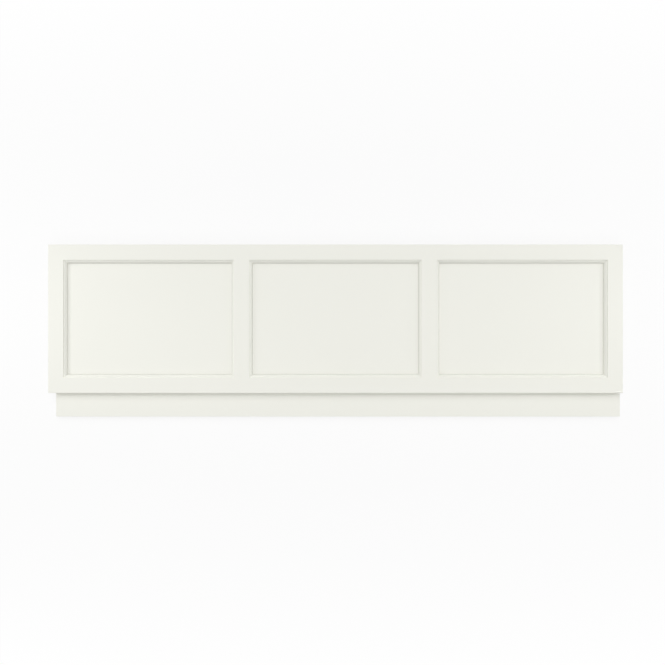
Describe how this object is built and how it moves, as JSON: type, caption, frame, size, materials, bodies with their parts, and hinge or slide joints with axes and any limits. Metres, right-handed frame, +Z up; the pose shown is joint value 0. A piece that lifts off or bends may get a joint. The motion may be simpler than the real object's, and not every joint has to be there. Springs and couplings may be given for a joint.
{
  "type": "bath panel",
  "caption": "Framed bath front panel with moulded, recessed fields and a plinth board set back below it; it closes the open side of a bath from the rim to the floor.",
  "frame": {"origin": "under the middle of the whole panel, on the surface that it lies on: halfway along its length and halfway between its top edge and the foot of its plinth", "axes": "+Z up, out of the painted face; +X along the panel's length; +Y from the plinth to the top edge"},
  "size_m": [1.795, 0.54, 0.034],
  "materials": {
    "satin_paint": "off-white satin paint on MDF"
  },
  "bodies": {
    "root": {"left_stile": "satin_paint", "right_stile": "satin_paint", "top_rail": "satin_paint", "bottom_rail": "satin_paint", "left_mullion": "satin_paint", "right_mullion": "satin_paint", "left_infill_board": "satin_paint", "middle_infill_board": "satin_paint", "right_infill_board": "satin_paint", "plinth": "satin_paint"}
  },
  "joints": []
}
